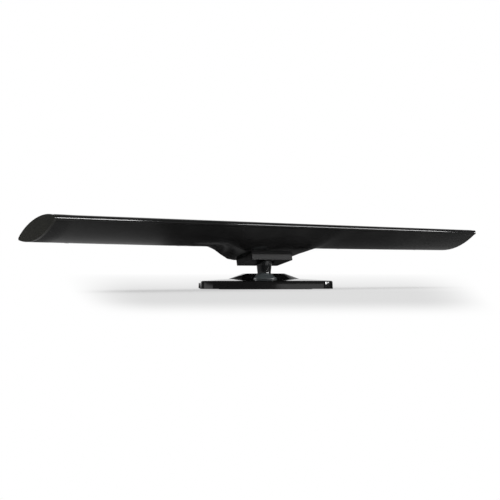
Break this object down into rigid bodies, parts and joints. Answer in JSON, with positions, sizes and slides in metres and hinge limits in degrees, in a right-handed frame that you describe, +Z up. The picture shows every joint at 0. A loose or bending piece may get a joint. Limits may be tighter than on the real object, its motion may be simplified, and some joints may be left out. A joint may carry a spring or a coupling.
{
  "type": "indoor tv antenna",
  "caption": "Low amplified indoor tv antenna: a long lens-shaped wing with a hull-shaped pod on a tilting, swivelling stalk and a weighted base.",
  "frame": {"origin": "on the swivel axis, at the underside of the base's rubber pad, on the surface that the antenna stands on", "axes": "+Z up along the swivel axis, +X along the wing towards its right end, +Y to the rear, where the sockets are"},
  "size_m": [0.4906, 0.1174, 0.0637],
  "materials": {
    "cover_gloss": "piano black, high gloss",
    "end_cap_satin": "black, satin",
    "antenna_strip": "rolled strip",
    "board": "green solder mask",
    "plated_steel": "zinc plated",
    "plated_brass": "nickel plated",
    "core_white": "white insulator",
    "socket_plastic": "moulded black",
    "black_steel": "black oxide",
    "plate_gloss": "black, semi gloss",
    "stalk_gloss": "black, gloss",
    "base_gloss": "piano black, high gloss",
    "base_matte": "moulded black",
    "ballast_steel": "bare mild steel plate",
    "pad_rubber": "fine matte rubber"
  },
  "bodies": {
    "base": {"base_cover": "base_gloss", "base_bottom": "base_matte", "ballast_weight": "ballast_steel", "rubber_pad": "pad_rubber", "base_screws": "black_steel"},
    "stalk": {"stalk": "stalk_gloss", "spring_washer": "plated_steel", "swivel_washer": "plated_steel", "swivel_screw": "plated_steel"},
    "head": {"top_cover": "cover_gloss", "bottom_shell": "cover_gloss", "left_end_cap": "end_cap_satin", "right_end_cap": "end_cap_satin", "left_element": "antenna_strip", "right_element": "antenna_strip", "circuit_board": "board", "shield_can": "plated_steel", "coax_socket": "plated_brass", "socket_core": "core_white", "power_jack": "socket_plastic", "board_screws": "plated_steel", "shell_screws": "black_steel", "head_plate": "plate_gloss", "plate_screws": "black_steel", "tilt_pin": "plated_steel"}
  },
  "joints": [
    {"name": "swivel", "type": "hinge", "parent": "base", "child": "stalk", "pos_m": [0, 0, 0.01], "axis": [0, 0, 1], "range_deg": [-117.3, 62.7]},
    {"name": "tilt", "type": "hinge", "parent": "stalk", "child": "head", "pos_m": [0, 0, 0.032], "axis": [1, 0, 0], "range_deg": [-3.1, 26.9]}
  ]
}
